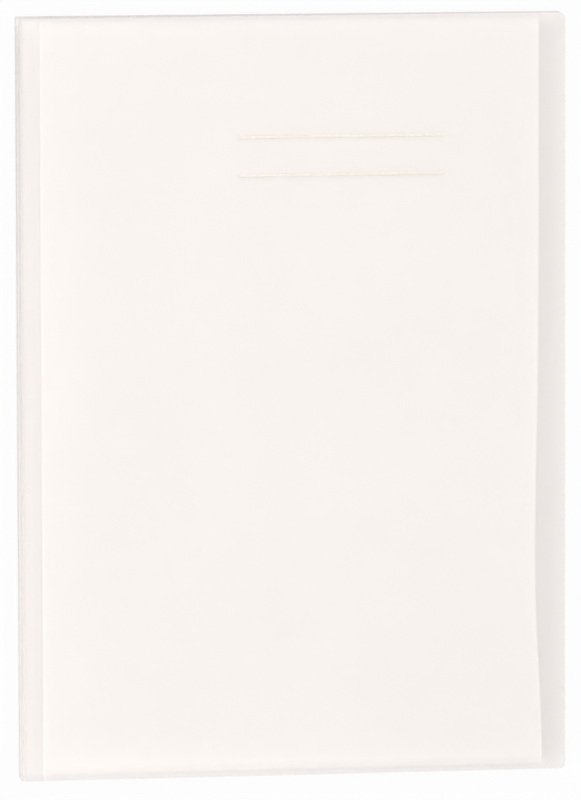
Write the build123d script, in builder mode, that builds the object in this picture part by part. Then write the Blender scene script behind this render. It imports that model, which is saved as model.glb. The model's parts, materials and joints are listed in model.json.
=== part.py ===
from build123d import *
import os
from math import asin, cos, degrees, sin

# Clear pocket display book, lying closed on its back cover. Millimetres, +Z up.
# The spine is at -X, the fore edge at +X and the open ends of the pockets at +Y.
# The origin is under the middle of the back cover.

# Sheet that a pocket takes
sheet_width = 210.0
sheet_height = 297.0

# Cover sheet
cover_thickness = 0.8
hinge_strip_width = 9.0
fore_overhang = 11.4
end_overhang = 2.2
corner_radius = 2.4
fold_clearance = 0.05

# Binding strip
strip_thickness = 0.6
strip_margin = 0.4

# Pockets
pocket_count = 20
film_thickness = 0.08
slot_gap = 0.12
side_play = 0.4
head_room = 14.6
tongue_length = 2.7
root_seam = 2.0
fore_seam = 1.6
tail_seam = 2.0
root_clearance = 0.03
cover_gap = 0.35
root_gap = 0.47
fore_gap = 0.06

# Sizes worked out from the values above
leaf_thickness = slot_gap + 2 * film_thickness
slot_width = sheet_width + 2 * side_play
pocket_length = tongue_length + root_seam + slot_width + fore_seam
pocket_height = tail_seam + sheet_height + head_room
root_pitch = leaf_thickness + root_gap
root_offset = cover_thickness + strip_thickness + root_clearance + slot_gap / 2
cover_width = root_offset + pocket_length + fore_overhang
cover_height = pocket_height + 2 * end_overhang
roots_span = (pocket_count - 1) * root_pitch
spine_span = cover_thickness + 2 * cover_gap + leaf_thickness + roots_span

# Places of the fold lines, the crease lines and the pocket roots
spine_x = -cover_width / 2
fold_x = spine_x + cover_thickness / 2
crease_x = spine_x + hinge_strip_width
root_x = spine_x + root_offset
back_z = cover_thickness / 2
front_z = back_z + spine_span
first_root_z = cover_thickness + cover_gap + leaf_thickness / 2


def leaf_slope(level):
    """How far a pocket at this level, counted from the back, leans down to the fore edge, in radians."""
    return asin(level * (root_gap - fore_gap) / pocket_length)


def section_plane(x, z, slope):
    """A plane across the spine at (x, z): its X runs down the slope to the fore edge, its Y up."""
    return Plane((x, 0, z), x_dir=(cos(slope), 0, -sin(slope)), z_dir=(0, -1, 0))


def cover_panel(label, section, length):
    """A cover board: round along its crease, where it swings, and rounded at both fore corners."""
    with BuildPart() as panel:
        with BuildSketch(section):
            Circle(cover_thickness / 2)
            Rectangle(length, cover_thickness, align=(Align.MIN, Align.CENTER))
        extrude(amount=cover_height / 2, both=True)
        upright = Axis((0, 0, 0), section.y_dir)
        fore_corners = panel.edges().filter_by(upright).group_by(Axis.X)[-1]
        fillet(fore_corners, corner_radius)
    panel.part.label = label
    return panel.part


def hinge_strip(label, z):
    """The narrow strip of the cover between the spine's fold and the crease, cut clear of both rounds."""
    inset = cover_thickness / 2 + fold_clearance
    width = crease_x - fold_x - 2 * inset
    with BuildPart() as strip:
        with BuildSketch(section_plane(fold_x + inset, z, 0)):
            Rectangle(width, cover_thickness, align=(Align.MIN, Align.CENTER))
        extrude(amount=cover_height / 2, both=True)
    strip.part.label = label
    return strip.part


def spine_panel(label):
    """The spine: a flat panel whose two long edges are round about the fold lines."""
    with BuildPart() as spine:
        with BuildSketch(section_plane(fold_x, (back_z + front_z) / 2, 0)):
            SlotCenterToCenter(spine_span, cover_thickness, rotation=90)
        extrude(amount=cover_height / 2, both=True)
    spine.part.label = label
    return spine.part


def binding_strip(label):
    """The strip welded flat inside the spine, which holds the pocket roots."""
    with BuildPart() as strip:
        with BuildSketch(section_plane(spine_x + cover_thickness, (back_z + front_z) / 2, 0)):
            height = roots_span + slot_gap + 2 * strip_margin
            Rectangle(strip_thickness, height, align=(Align.MIN, Align.CENTER))
        extrude(amount=pocket_height / 2, both=True)
    strip.part.label = label
    return strip.part


def flat_piece(plane, x_start, x_end, y_start, y_end, thickness):
    """A flat piece of film or weld that lies on a plane."""
    with BuildPart() as piece:
        with BuildSketch(plane):
            with Locations((x_start, y_start)):
                Rectangle(x_end - x_start, y_end - y_start, align=Align.MIN)
        extrude(amount=thickness)
    return piece.part


def pocket(label, level):
    """One pocket: two films welded along the root, the fore edge and the tail, and open at the head."""
    root_z = first_root_z + level * root_pitch
    section = section_plane(root_x, root_z, leaf_slope(level))
    middle = Plane(section.origin, x_dir=section.x_dir, z_dir=section.y_dir)
    slot_floor = middle.offset(-slot_gap / 2)
    slot_start = tongue_length + root_seam
    slot_end = slot_start + slot_width
    tail = -pocket_height / 2
    head = pocket_height / 2

    with BuildPart() as root:
        with BuildSketch(section):
            Circle(slot_gap / 2)
            Rectangle(slot_start, slot_gap, align=(Align.MIN, Align.CENTER))
        extrude(amount=pocket_height / 2, both=True)

    back_plane = middle.offset(-leaf_thickness / 2)
    front_plane = middle.offset(slot_gap / 2)
    back_film = flat_piece(back_plane, tongue_length, pocket_length, tail, head, film_thickness)
    front_film = flat_piece(front_plane, tongue_length, pocket_length, tail, head, film_thickness)
    fore_weld = flat_piece(slot_floor, slot_end, pocket_length, tail, head, slot_gap)
    tail_weld = flat_piece(slot_floor, slot_start, slot_end, tail, tail + tail_seam, slot_gap)
    return Compound(label=label, children=[root.part, back_film, front_film, fore_weld, tail_weld])


# The pieces, the pockets counted from the front
board_length = spine_x + cover_width - crease_x
front_slope = leaf_slope(pocket_count - 1)
pieces = [
    cover_panel("back_cover", section_plane(crease_x, back_z, 0), board_length),
    hinge_strip("back_hinge_strip", back_z),
    spine_panel("spine"),
    binding_strip("binding_strip"),
    hinge_strip("front_hinge_strip", front_z),
    cover_panel("front_cover", section_plane(crease_x, front_z, front_slope), board_length),
]
for number in range(1, pocket_count + 1):
    pieces.append(pocket(f"pocket_{number:02d}", pocket_count - number))

os.makedirs("parts", exist_ok=True)
for piece in pieces:
    export_step(piece, f"parts/{piece.label}.step")

print(f"closed cover {cover_width:.1f} x {cover_height:.1f} x {front_z + back_z:.1f} mm")
print(f"front cover leans {degrees(front_slope):.2f} degrees to the fore edge")
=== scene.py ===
import json
from math import atan2, cos, exp, radians, sin

import bmesh
import bpy
from mathutils import Euler, Matrix, Vector


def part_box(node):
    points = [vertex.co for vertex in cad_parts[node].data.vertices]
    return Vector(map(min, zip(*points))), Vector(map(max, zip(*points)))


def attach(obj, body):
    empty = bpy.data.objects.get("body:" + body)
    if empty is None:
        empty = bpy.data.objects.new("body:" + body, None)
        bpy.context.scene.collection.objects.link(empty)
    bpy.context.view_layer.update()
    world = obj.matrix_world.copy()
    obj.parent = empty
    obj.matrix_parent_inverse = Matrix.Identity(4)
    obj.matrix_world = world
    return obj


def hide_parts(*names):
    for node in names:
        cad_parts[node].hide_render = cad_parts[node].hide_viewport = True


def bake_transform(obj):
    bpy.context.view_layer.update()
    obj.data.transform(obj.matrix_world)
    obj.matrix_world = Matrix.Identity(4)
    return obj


# Clear pocket display book, lying closed on its back cover. Metres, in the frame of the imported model.
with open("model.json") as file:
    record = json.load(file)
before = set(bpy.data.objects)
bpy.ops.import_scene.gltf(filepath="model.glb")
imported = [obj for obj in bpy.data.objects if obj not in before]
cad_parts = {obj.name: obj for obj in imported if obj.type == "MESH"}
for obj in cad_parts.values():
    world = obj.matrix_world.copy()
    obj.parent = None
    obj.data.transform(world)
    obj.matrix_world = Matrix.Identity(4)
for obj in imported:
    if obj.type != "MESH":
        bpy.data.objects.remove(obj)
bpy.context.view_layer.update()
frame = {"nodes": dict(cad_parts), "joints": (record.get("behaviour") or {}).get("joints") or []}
MM = 0.001
tiny = 1e-6

# Places and sizes read from the frame
joints = {joint["name"]: Vector(joint["pos_m"]) for joint in frame["joints"]}
pocket_names = sorted(name for name in frame["nodes"] if name.startswith("pocket_"))
board_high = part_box("back_cover")[1]
strip_low, strip_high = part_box("back_hinge_strip")
panel_low, panel_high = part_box("front_cover")
binding_face_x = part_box("binding_strip")[1].x
sheet_thickness = strip_high.z - strip_low.z
cover_half_height = board_high.y
fore_x = board_high.x
crease_x = joints["front_crease"].x
spine_x = joints["spine_fold"].x - sheet_thickness / 2
front_z = joints["front_crease"].z
top_z = front_z + sheet_thickness / 2
board_length = fore_x - crease_x
front_slope = atan2(front_z - sheet_thickness / 2 - panel_low.z, panel_high.x - crease_x)

# Cover sheet: its folds, creases, edges and corners
fold_round = 2.0 * MM
fold_steps = 10
# How far the painted shade along a fold reaches
fold_shade_reach = 1.3 * fold_round
crease_half_width = 0.9 * MM
crease_depth = 0.2 * MM
crease_steps = 4
corner_round = 2.4 * MM
corner_steps = 8
rim_round = 0.16 * MM
rim_steps = 2
rim_angle = radians(60)
sharp_angle = radians(50)
board_rows = 48
board_columns = 30
column_spread = 1.3

# Pocket: half the bag's thickness, one film's thickness, half a weld's thickness, then welds, mouth and root
film_reach = 0.28 * MM / 2
film_thickness = 0.08 * MM
weld_reach = 0.24 * MM / 2
weld_ramp = 1.2 * MM
root_weld = 4.7 * MM
press_reach = 5.5 * MM
fore_weld = 1.6 * MM
tail_weld = 2.0 * MM
mouth_edge = 0.45 * MM
root_bend = 8.0 * MM
bend_steps = 8
film_rows = 26
film_columns = 20
stretch_start = 0.7

# Gentle swell of the closed book, from the springy crease and the air between the films
crease_swell = 0.42 * MM
crease_swell_peak = 17 * MM
crease_swell_fall = 45 * MM
crease_swell_middle = 5 * MM
crease_swell_reach = 115 * MM
ridge_height = 0.14 * MM
ridge_x = -22 * MM
ridge_y = -10 * MM
ridge_lean = 0.13
ridge_width = 13 * MM
ridge_reach = 90 * MM

# Wander of the pockets' fore edges: its measure, then its shares, by place along the half height of the cover
fore_drift = 1.2 * MM
fore_lead = 0.25
hollow_share = 1.35
hollow_place = -0.42
hollow_reach = 0.42
tail_share = 1.3
tail_start = -0.5
tail_rate = 2.2
own_share = 0.1
own_start = 2.4
own_wave = 2.1

# Foil rules on the front cover
rule_left = -22.8 * MM
rule_right = 63.9 * MM
rule_heights = (108.6 * MM, 92.6 * MM)
rule_width = 0.7 * MM
rule_columns = 40
foil_thickness = 0.02 * MM

# Floor
floor_reach = 6
floor_drop = 0.05 * MM

# Camera, from the four corners of the cover in the picture
camera_aim = Vector((-0.92, -1.87, 8.0)) * MM
camera_distance = 4.0
camera_turn = Euler((radians(-5.84), radians(-6.94), radians(-0.157)))
camera_lens = 431.4


def ease(value):
    """0 below 0, 1 above 1 and smooth between."""
    value = min(max(value, 0), 1)
    return value * value * (3 - 2 * value)


def swell(x, y):
    """How far the closed book's front stands proud of flat at a place."""
    out = x - crease_x
    if out <= 0:
        return 0
    hump = ease(out / crease_swell_peak) * (1 - ease((out - crease_swell_peak) / crease_swell_fall))
    hump *= exp(-((y - crease_swell_middle) / crease_swell_reach) ** 2)
    across = (x - ridge_x + y * ridge_lean) / ridge_width
    along = (y - ridge_y) / ridge_reach
    ridge = exp(-across ** 2) * exp(-along ** 2)
    return crease_swell * hump + ridge_height * ridge


def front_face_z(x, y):
    """Height of the front cover's outer face."""
    return top_z - (x - crease_x) * sin(front_slope) / cos(front_slope) + swell(x, y)


def node_maker(material):
    """Gives a function that adds a node with its inputs set, and a function that links two sockets."""
    tree = material.node_tree
    tree.nodes.clear()

    def add(kind, inputs=None, **settings):
        node = tree.nodes.new(kind)
        for key, value in settings.items():
            setattr(node, key, value)
        for key, value in (inputs or {}).items():
            node.inputs[key].default_value = value
        return node

    return add, tree.links.new


def worked_out(add, link, operation, *values):
    """Adds a math node on sockets and plain numbers, and gives the socket of its result."""
    node = add("ShaderNodeMath", operation=operation)
    for place, value in enumerate(values):
        if isinstance(value, (int, float)):
            node.inputs[place].default_value = value
        else:
            link(value, node.inputs[place])
    return node.outputs["Value"]


def blank_material(name):
    """A new material that is made of nodes."""
    material = bpy.data.materials.new(name)
    material.use_nodes = True
    return material


def frosted_cover():
    """Frosted polypropylene sheet: cloudy warm white with a fine matt grain, and painted shade that makes it
    greyer along its folds.
    """
    through_share = 0.12
    clear_share = 0.7
    material = blank_material("frosted_cover")
    add, link = node_maker(material)
    place = add("ShaderNodeTexCoord").outputs["Object"]
    cloud = add("ShaderNodeTexNoise", {"Scale": 14, "Detail": 3, "Roughness": 0.5})
    link(place, cloud.inputs["Vector"])
    tone = add("ShaderNodeValToRGB")
    tone.color_ramp.elements[0].position = 0.3
    tone.color_ramp.elements[0].color = (0.985, 0.935, 0.91, 1)
    tone.color_ramp.elements[1].position = 0.7
    tone.color_ramp.elements[1].color = (0.998, 0.95, 0.926, 1)
    link(cloud.outputs["Fac"], tone.inputs["Fac"])
    # Painted shade: the cover's colour is darkened, down to 0.62 of it, along the marked folds.
    fold = add("ShaderNodeMapRange", {"To Min": 1, "To Max": 0.62})
    link(add("ShaderNodeAttribute", attribute_name="fold").outputs["Fac"], fold.inputs["Value"])
    shade = add("ShaderNodeVectorMath", operation="SCALE")
    link(tone.outputs["Color"], shade.inputs[0])
    link(fold.outputs["Result"], shade.inputs["Scale"])
    grain = add("ShaderNodeTexNoise", {"Scale": 1500, "Detail": 2, "Roughness": 0.6})
    link(place, grain.inputs["Vector"])
    matt = add("ShaderNodeMapRange", {"To Min": 0.44, "To Max": 0.58})
    link(grain.outputs["Fac"], matt.inputs["Value"])
    bump = add("ShaderNodeBump", {"Strength": 0.25, "Distance": 0.00004})
    link(grain.outputs["Fac"], bump.inputs["Height"])
    surface = add("ShaderNodeBsdfPrincipled", {"IOR": 1.49})
    link(shade.outputs["Vector"], surface.inputs["Base Color"])
    link(matt.outputs["Result"], surface.inputs["Roughness"])
    link(bump.outputs["Normal"], surface.inputs["Normal"])
    through = add("ShaderNodeBsdfTranslucent")
    link(shade.outputs["Vector"], through.inputs["Color"])
    link(bump.outputs["Normal"], through.inputs["Normal"])
    body = add("ShaderNodeMixShader", {0: through_share})
    link(surface.outputs["BSDF"], body.inputs[1])
    link(through.outputs["BSDF"], body.inputs[2])
    clear = add("ShaderNodeBsdfTransparent", {"Color": (1, 1, 1, 1)})
    mix = add("ShaderNodeMixShader", {0: clear_share})
    link(body.outputs["Shader"], mix.inputs[1])
    link(clear.outputs["BSDF"], mix.inputs[2])
    end = add("ShaderNodeOutputMaterial")
    link(mix.outputs["Shader"], end.inputs["Surface"])
    return material


def pocket_film():
    """Clear glossy film with a slight haze: ribbed at welds, clearer where pressed, white at cut edges."""
    material = blank_material("pocket_film")
    add, link = node_maker(material)
    place = add("ShaderNodeTexCoord").outputs["Object"]
    weld = add("ShaderNodeAttribute", attribute_name="weld").outputs["Fac"]
    ribs = add("ShaderNodeTexWave", {"Scale": 260, "Distortion": 0.0},
               wave_type="BANDS", bands_direction="DIAGONAL")
    link(place, ribs.inputs["Vector"])
    ribbed = worked_out(add, link, "MULTIPLY", weld, ribs.outputs["Fac"])
    pressed = add("ShaderNodeMapRange", {"To Min": 0.3, "To Max": 0.14})
    link(add("ShaderNodeAttribute", attribute_name="pressed").outputs["Fac"], pressed.inputs["Value"])
    cut_edge = add("ShaderNodeAttribute", attribute_name="cut_edge").outputs["Fac"]
    white_edge = worked_out(add, link, "MULTIPLY", cut_edge, 0.9)
    haze = worked_out(add, link, "MAXIMUM", pressed.outputs["Result"], white_edge)
    press = add("ShaderNodeBump", {"Strength": 0.5, "Distance": 0.00005})
    link(ribbed, press.inputs["Height"])
    dull = add("ShaderNodeMapRange", {"To Min": 0.16, "To Max": 0.4})
    link(weld, dull.inputs["Value"])
    surface = add("ShaderNodeBsdfPrincipled", {"Base Color": (0.9995, 0.993, 0.985, 1), "IOR": 1.5,
                                               "Specular IOR Level": 0.7})
    link(haze, surface.inputs["Alpha"])
    link(dull.outputs["Result"], surface.inputs["Roughness"])
    link(press.outputs["Normal"], surface.inputs["Normal"])
    end = add("ShaderNodeOutputMaterial")
    link(surface.outputs["BSDF"], end.inputs["Surface"])
    return material


def milky_binding():
    """Milky polypropylene of the binding strip, with fine drawn lines along it."""
    material = blank_material("milky_binding")
    add, link = node_maker(material)
    place = add("ShaderNodeTexCoord").outputs["Object"]
    along = add("ShaderNodeMapping", {"Scale": (1, 0.02, 1)})
    link(place, along.inputs["Vector"])
    lines = add("ShaderNodeTexNoise", {"Scale": 1800, "Detail": 2})
    link(along.outputs["Vector"], lines.inputs["Vector"])
    tone = add("ShaderNodeValToRGB")
    tone.color_ramp.elements[0].color = (0.9, 0.885, 0.86, 1)
    tone.color_ramp.elements[1].color = (0.95, 0.94, 0.92, 1)
    link(lines.outputs["Fac"], tone.inputs["Fac"])
    bump = add("ShaderNodeBump", {"Strength": 0.3, "Distance": 0.00004})
    link(lines.outputs["Fac"], bump.inputs["Height"])
    gloss = add("ShaderNodeMapRange", {"To Min": 0.25, "To Max": 0.4})
    link(lines.outputs["Fac"], gloss.inputs["Value"])
    surface = add("ShaderNodeBsdfPrincipled", {"IOR": 1.49, "Alpha": 0.4})
    link(tone.outputs["Color"], surface.inputs["Base Color"])
    link(gloss.outputs["Result"], surface.inputs["Roughness"])
    link(bump.outputs["Normal"], surface.inputs["Normal"])
    end = add("ShaderNodeOutputMaterial")
    link(surface.outputs["BSDF"], end.inputs["Surface"])
    return material


def pale_foil():
    """Pale gold foil, pressed thinly, so that it is worn through in places."""
    material = blank_material("pale_foil")
    add, link = node_maker(material)
    place = add("ShaderNodeTexCoord").outputs["Object"]
    wear = add("ShaderNodeTexNoise", {"Scale": 420, "Detail": 4, "Roughness": 0.7})
    link(place, wear.inputs["Vector"])
    tone = add("ShaderNodeValToRGB")
    tone.color_ramp.elements[0].position = 0.35
    tone.color_ramp.elements[0].color = (0.76, 0.7, 0.59, 1)
    tone.color_ramp.elements[1].position = 0.68
    tone.color_ramp.elements[1].color = (0.86, 0.81, 0.73, 1)
    link(wear.outputs["Fac"], tone.inputs["Fac"])
    rough = add("ShaderNodeMapRange", {"To Min": 0.45, "To Max": 0.65})
    link(wear.outputs["Fac"], rough.inputs["Value"])
    surface = add("ShaderNodeBsdfPrincipled", {"Metallic": 0.1})
    link(tone.outputs["Color"], surface.inputs["Base Color"])
    link(rough.outputs["Result"], surface.inputs["Roughness"])
    end = add("ShaderNodeOutputMaterial")
    link(surface.outputs["BSDF"], end.inputs["Surface"])
    return material


def white_floor():
    """Floor that reads as a white background and takes a soft shadow; seen through the sheets it keeps a
    painted glow that fades with each sheet above, so it shows a painted pale grey under the book.
    """
    material = blank_material("white_floor")
    add, link = node_maker(material)
    paths = add("ShaderNodeLightPath")
    seen = worked_out(add, link, "MAXIMUM", paths.outputs["Is Camera Ray"], paths.outputs["Is Glossy Ray"])
    shown = worked_out(add, link, "MAXIMUM", seen, paths.outputs["Is Transmission Ray"])
    sheets_above = paths.outputs["Transparent Depth"]
    # Painted light and shade: under the sheets the floor still glows, less with each sheet above it, and not
    # at all under ten sheets or more.
    painted_glow_under_sheets = add("ShaderNodeMapRange", {"From Max": 10, "To Min": 0.62, "To Max": 0})
    link(sheets_above, painted_glow_under_sheets.inputs["Value"])
    uncovered = worked_out(add, link, "LESS_THAN", sheets_above, 0.5)
    glow_through_sheets = worked_out(add, link, "MAXIMUM", painted_glow_under_sheets.outputs["Result"], uncovered)
    direct = worked_out(add, link, "MULTIPLY", shown, glow_through_sheets)
    share = worked_out(add, link, "MULTIPLY", direct, 0.965)
    paint = add("ShaderNodeBsdfDiffuse", {"Color": (0.46, 0.46, 0.46, 1)})
    glow = add("ShaderNodeEmission", {"Color": (1, 1, 1, 1), "Strength": 1})
    mix = add("ShaderNodeMixShader")
    link(share, mix.inputs[0])
    link(paint.outputs["BSDF"], mix.inputs[1])
    link(glow.outputs["Emission"], mix.inputs[2])
    end = add("ShaderNodeOutputMaterial")
    link(mix.outputs["Shader"], end.inputs["Surface"])
    return material


def finished_piece(name, bm, material):
    """Makes the object of a finished mesh, smooth but for its sharp edges."""
    mesh = bpy.data.meshes.new(name)
    bm.to_mesh(mesh)
    bm.free()
    for polygon in mesh.polygons:
        polygon.use_smooth = True
    mesh.set_sharp_from_angle(angle=sharp_angle)
    mesh.materials.append(material)
    piece = bpy.data.objects.new(name, mesh)
    bpy.context.scene.collection.objects.link(piece)
    return piece


def cut(bm, place, direction):
    """Cuts every face where it crosses a plane."""
    everything = bm.verts[:] + bm.edges[:] + bm.faces[:]
    bmesh.ops.bisect_plane(bm, geom=everything, dist=1e-7, plane_co=place, plane_no=direction)


def bent_sheet(corners):
    """The outer face of a sheet as high as the cover, drawn out along the corners of its section."""
    bm = bmesh.new()
    ends = [bm.verts.new((corners[0].x, y, corners[0].z)) for y in (-cover_half_height, cover_half_height)]
    edge = bm.edges.new(ends)
    for here, there in zip(corners, corners[1:]):
        drawn = bmesh.ops.extrude_edge_only(bm, edges=[edge])["geom"]
        moved = [item for item in drawn if isinstance(item, bmesh.types.BMVert)]
        bmesh.ops.translate(bm, verts=moved, vec=there - here)
        edge = next(item for item in drawn if isinstance(item, bmesh.types.BMEdge))
    bmesh.ops.recalc_face_normals(bm, faces=bm.faces[:])
    way = corners[1] - corners[0]
    outward = Vector((-way.z, 0, way.x))
    bm.faces.ensure_lookup_table()
    if bm.faces[0].normal.dot(outward) < 0:
        bmesh.ops.reverse_faces(bm, faces=bm.faces[:])
    return bm


def on_corner(v, corner):
    """Whether a vertex lies at a corner of the section, at whatever height of the cover."""
    return abs(v.co.x - corner.x) < tiny and abs(v.co.z - corner.z) < tiny


def round_fold(bm, corner):
    """Rounds the fold at a corner of the section."""
    fold = [edge for edge in bm.edges if all(on_corner(v, corner) for v in edge.verts)]
    bmesh.ops.bevel(bm, geom=fold, offset=fold_round, offset_type="OFFSET", affect="EDGES",
                    segments=fold_steps, profile=0.5, material=-1)


def round_fore_corners(bm, fore):
    """Rounds the two corners of the sheet at its fore edge."""
    tips = [v for v in bm.verts if on_corner(v, fore)]
    bmesh.ops.bevel(bm, geom=tips, offset=corner_round, offset_type="ABSOLUTE", affect="VERTICES",
                    segments=corner_steps, profile=0.5, material=-1)


def cut_rows(bm):
    """Cuts the sheet across its height into rows."""
    for row in range(1, board_rows):
        y = cover_half_height * (2 * row / board_rows - 1)
        cut(bm, (0, y, 0), (0, 1, 0))


def press_crease(bm, crease, way, outward):
    """Presses the groove of a crease into the sheet."""
    for step in range(-crease_steps, crease_steps + 1):
        cut(bm, crease + way * (crease_half_width * step / crease_steps), way)
    for v in bm.verts:
        off = abs((v.co - crease).dot(way)) / crease_half_width
        near = abs((v.co - crease).dot(outward)) < sheet_thickness
        if near and off < 1:
            v.co -= outward * crease_depth * (1 - off * off) ** 2


def cut_columns(bm, start, way):
    """Cuts a board into columns between its crease and its fore edge, closer together near the crease."""
    for column in range(1, board_columns):
        reach = board_length * (column / board_columns) ** column_spread
        if reach > 1.5 * crease_half_width:
            cut(bm, start + way * reach, way)


def thicken(bm, seams):
    """Gives the sheet its thickness and rounds its rim, but not where it runs on into the next piece."""
    bmesh.ops.solidify(bm, geom=bm.faces[:], thickness=sheet_thickness)
    bm.normal_update()

    def on_seam(face):
        return any(all(abs((v.co - place).dot(way)) < tiny for v in face.verts) for place, way in seams)

    rim = [edge for edge in bm.edges if len(edge.link_faces) == 2 and edge.calc_face_angle() > rim_angle
           and not any(on_seam(face) for face in edge.link_faces)]
    bmesh.ops.bevel(bm, geom=rim, offset=rim_round, offset_type="OFFSET", affect="EDGES",
                    segments=rim_steps, profile=0.5, clamp_overlap=True, material=-1)


def mark_fold_shade(bm, corner):
    """Marks the bent part of the sheet, most at the middle of the bend, for the painted shade that greys the
    cover there.
    """
    fold = bm.verts.layers.float.new("fold")
    for v in bm.verts:
        off = max(abs(v.co.x - corner.x), abs(v.co.z - corner.z))
        v[fold] = 1 - ease(off / fold_shade_reach)


def back_board(material):
    """Back cover, its hinge strip and the back half of the spine, as one bent sheet."""
    fore = Vector((fore_x, 0, 0))
    crease = Vector((crease_x, 0, 0))
    corner = Vector((spine_x, 0, 0))
    seam = Vector((spine_x, 0, top_z / 2))
    along = Vector((1, 0, 0))
    up = Vector((0, 0, 1))
    bm = bent_sheet([fore, crease, corner, seam])
    round_fold(bm, corner)
    round_fore_corners(bm, fore)
    cut_rows(bm)
    cut_columns(bm, crease, along)
    press_crease(bm, crease, along, -up)
    thicken(bm, [(seam, up)])
    mark_fold_shade(bm, corner)
    piece = finished_piece("back_board", bm, material)
    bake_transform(piece)
    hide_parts("back_cover", "back_hinge_strip")
    return piece


def spine_board(material):
    """Front half of the spine and the fold into the front hinge strip."""
    start = Vector((spine_x, 0, top_z / 2))
    corner = Vector((spine_x, 0, top_z))
    seam = Vector(((spine_x + crease_x) / 2, 0, top_z))
    along = Vector((1, 0, 0))
    up = Vector((0, 0, 1))
    bm = bent_sheet([start, corner, seam])
    round_fold(bm, corner)
    cut_rows(bm)
    thicken(bm, [(start, up), (seam, along)])
    mark_fold_shade(bm, corner)
    piece = finished_piece("spine_board", bm, material)
    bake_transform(piece)
    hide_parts("spine", "front_hinge_strip")
    return piece


def front_board(material):
    """Front cover with its crease and the rest of the hinge strip, gently swollen."""
    start = Vector(((spine_x + crease_x) / 2, 0, top_z))
    crease = Vector((crease_x, 0, top_z))
    along = Vector((1, 0, 0))
    up = Vector((0, 0, 1))
    down_slope = Vector((cos(front_slope), 0, -sin(front_slope)))
    fore = crease + down_slope * board_length
    bm = bent_sheet([start, crease, fore])
    round_fore_corners(bm, fore)
    cut_rows(bm)
    cut_columns(bm, crease, down_slope)
    press_crease(bm, crease, along, up)
    for v in bm.verts:
        v.co.z += swell(v.co.x, v.co.y)
    thicken(bm, [(start, along)])
    piece = finished_piece("front_board", bm, material)
    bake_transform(piece)
    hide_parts("front_cover")
    return piece


def fore_wander(y, number):
    """How far a pocket's fore edge runs out past its straight line, as cut film does."""
    along = y / cover_half_height
    hollow = hollow_share * exp(-((along - hollow_place) / hollow_reach) ** 2)
    tail = tail_share * ease((tail_start - along) * tail_rate)
    own = own_share * sin(own_start * number + own_wave * along)
    return fore_drift * (fore_lead - hollow + tail + own)


def draw_lips(bm):
    """Draws the cut edges of both films across the open mouth, as deep as the film is thick."""
    rim = [edge for edge in bm.edges if edge.is_boundary]
    drawn = bmesh.ops.extrude_edge_only(bm, edges=rim)["geom"]
    for item in drawn:
        if isinstance(item, bmesh.types.BMVert):
            item.co.z *= 1 - film_thickness / film_reach
    bm.normal_update()


def flat_bag(start, length, half_height):
    """Two flat films, cut where they will bend and be welded, joined on three sides and open at the head."""
    bm = bmesh.new()
    bmesh.ops.create_grid(bm, x_segments=film_columns, y_segments=film_rows, size=0.5)
    bmesh.ops.scale(bm, verts=bm.verts[:], vec=(length - start, 2 * half_height, 1))
    bmesh.ops.translate(bm, verts=bm.verts[:], vec=((length + start) / 2, 0, film_reach))
    for step in range(1, bend_steps + 1):
        cut(bm, (root_bend * step / bend_steps, 0, 0), (1, 0, 0))
    for x in (root_weld, root_weld + weld_ramp, length - fore_weld, length - fore_weld - weld_ramp):
        cut(bm, (x, 0, 0), (1, 0, 0))
    for y in (-half_height + tail_weld, -half_height + tail_weld + weld_ramp, half_height - mouth_edge):
        cut(bm, (0, y, 0), (0, 1, 0))
    bmesh.ops.solidify(bm, geom=bm.faces[:], thickness=2 * film_reach)
    bm.normal_update()
    mouth = [face for face in bm.faces if face.normal.y > 0.9]
    bmesh.ops.delete(bm, geom=mouth, context="FACES")
    return bm


def pocket_bag(name, material):
    """One pocket: two films that meet along the root, the fore edge and the tail, and open at the head."""
    low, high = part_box(name)
    root = joints[f"{name}_turn"]
    slope = atan2(root.z - film_reach - low.z, high.x - root.x)
    length = (high.x - root.x) / cos(slope)
    start = binding_face_x - root.x
    half_height = high.y
    number = int(name[-2:])

    bm = flat_bag(start, length, half_height)
    draw_lips(bm)

    cut_edge = bm.faces.layers.float.new("cut_edge")
    for face in bm.faces:
        face[cut_edge] = abs(face.normal.z) < 0.5 and face.calc_center_median().x > root_bend
    weld = bm.verts.layers.float.new("weld")
    pressed = bm.verts.layers.float.new("pressed")
    share = root.z / top_z
    place = Matrix.Translation(root) @ Matrix.Rotation(slope, 4, "Y")
    for v in bm.verts:
        x, y = v.co.x, v.co.y
        past_root = x - root_weld
        past_tail = y + half_height - tail_weld
        opened = ease(min(past_root, past_tail, length - fore_weld - x) / weld_ramp)
        reach = weld_reach + (film_reach - weld_reach) * opened
        v[weld] = 1 - opened
        v[pressed] = 1 - min(ease(past_root / press_reach), ease(past_tail / weld_ramp))
        side = v.co.z / film_reach
        stretch = ease((x / length - stretch_start) / (1 - stretch_start))
        v.co = place @ Vector((x + stretch * fore_wander(y, number), y, side * reach))
        v.co.z += swell(v.co.x, y) * share
    piece = finished_piece(f"{name}_bag", bm, material)
    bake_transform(piece)
    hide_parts(name)
    return piece


def foil_rule(name, y, material):
    """A thin line of foil that lies on the front cover."""
    bm = bmesh.new()
    bmesh.ops.create_grid(bm, x_segments=rule_columns, y_segments=1, size=0.5)
    bmesh.ops.scale(bm, verts=bm.verts[:], vec=(rule_right - rule_left, rule_width, 1))
    bmesh.ops.translate(bm, verts=bm.verts[:], vec=((rule_right + rule_left) / 2, y, 0))
    for v in bm.verts:
        v.co.z = front_face_z(v.co.x, v.co.y) + foil_thickness
    bmesh.ops.solidify(bm, geom=bm.faces[:], thickness=2 * foil_thickness)
    piece = finished_piece(name, bm, material)
    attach(piece, "front")
    return piece


def dress_binding_strip():
    """Gives the binding strip's solid its finish."""
    strip = frame["nodes"]["binding_strip"]
    strip.data.materials.clear()
    strip.data.materials.append(milky_binding())


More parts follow.
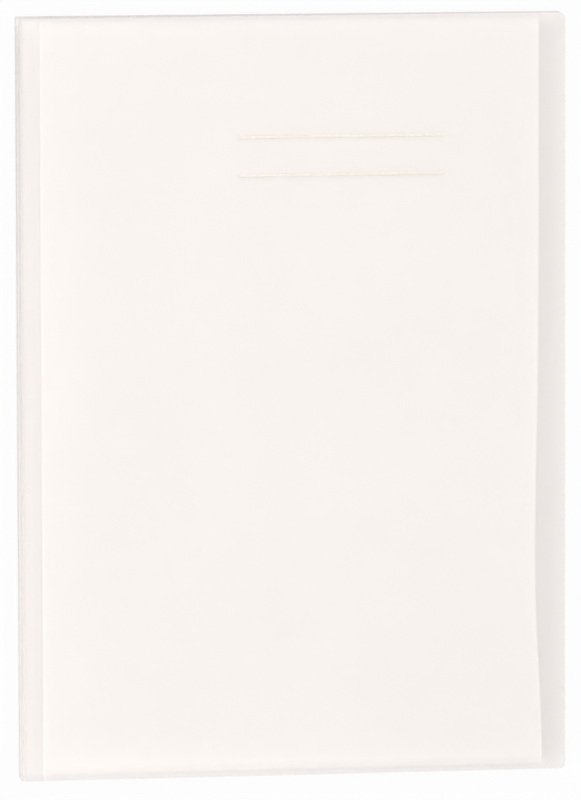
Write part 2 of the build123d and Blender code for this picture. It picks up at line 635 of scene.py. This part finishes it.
def studio_floor():
    """A wide floor under the book."""
    bm = bmesh.new()
    bmesh.ops.create_grid(bm, x_segments=1, y_segments=1, size=floor_reach)
    bmesh.ops.translate(bm, verts=bm.verts[:], vec=(0, 0, -floor_drop))
    mesh = bpy.data.meshes.new("studio_floor")
    bm.to_mesh(mesh)
    bm.free()
    mesh.materials.append(white_floor())
    floor = bpy.data.objects.new("studio_floor", mesh)
    bpy.context.scene.collection.objects.link(floor)


def soft_box(name, place, size, power):
    """A square soft light that faces the book."""
    data = bpy.data.lights.new(name, "AREA")
    data.shape = "SQUARE"
    data.size = size
    data.energy = power
    lamp = bpy.data.objects.new(name, data)
    lamp.location = place
    lamp.rotation_euler = (-Vector(place)).to_track_quat("-Z", "Y").to_euler()
    bpy.context.scene.collection.objects.link(lamp)


def studio_light():
    """A pale room and three soft lights: high beyond the head, high over the spine and low beside it."""
    world = bpy.data.worlds.new("pale_room")
    world.use_nodes = True
    add, link = node_maker(world)
    paths = add("ShaderNodeLightPath")
    room = add("ShaderNodeBackground", {"Color": (1, 1, 1, 1), "Strength": 0.27})
    shown = add("ShaderNodeBackground", {"Color": (1, 1, 1, 1), "Strength": 1})
    mix = add("ShaderNodeMixShader")
    link(paths.outputs["Is Camera Ray"], mix.inputs[0])
    link(room.outputs["Background"], mix.inputs[1])
    link(shown.outputs["Background"], mix.inputs[2])
    end = add("ShaderNodeOutputWorld")
    link(mix.outputs["Shader"], end.inputs["Surface"])
    bpy.context.scene.world = world
    soft_box("key_light", (1.1, 1.8, 2.9), size=2.2, power=99)
    soft_box("spine_light", (-1.75, -1.0, 0.36), size=0.7, power=41)
    soft_box("fill_light", (-1.0, -0.7, 2.1), size=1.6, power=20)


def photo_camera():
    """The camera, at the picture's viewing angle."""
    data = bpy.data.cameras.new("photo_camera")
    data.sensor_width = 36
    data.lens = camera_lens
    camera = bpy.data.objects.new("photo_camera", data)
    camera.rotation_euler = camera_turn
    camera.location = camera_aim + camera_turn.to_matrix() @ Vector((0, 0, camera_distance))
    bpy.context.scene.collection.objects.link(camera)
    bpy.context.scene.camera = camera


cover = frosted_cover()
film = pocket_film()
foil = pale_foil()
back_board(cover)
spine_board(cover)
front_board(cover)
for pocket_name in pocket_names:
    pocket_bag(pocket_name, film)
for count, height in enumerate(rule_heights, 1):
    foil_rule(f"foil_rule_{count}", height, foil)
dress_binding_strip()
studio_floor()
studio_light()
photo_camera()
bpy.context.scene.view_settings.view_transform = "Standard"
bpy.context.scene.cycles.transparent_max_bounces = 64
bpy.context.scene.cycles.diffuse_bounces = 16
bpy.context.scene.cycles.max_bounces = 20
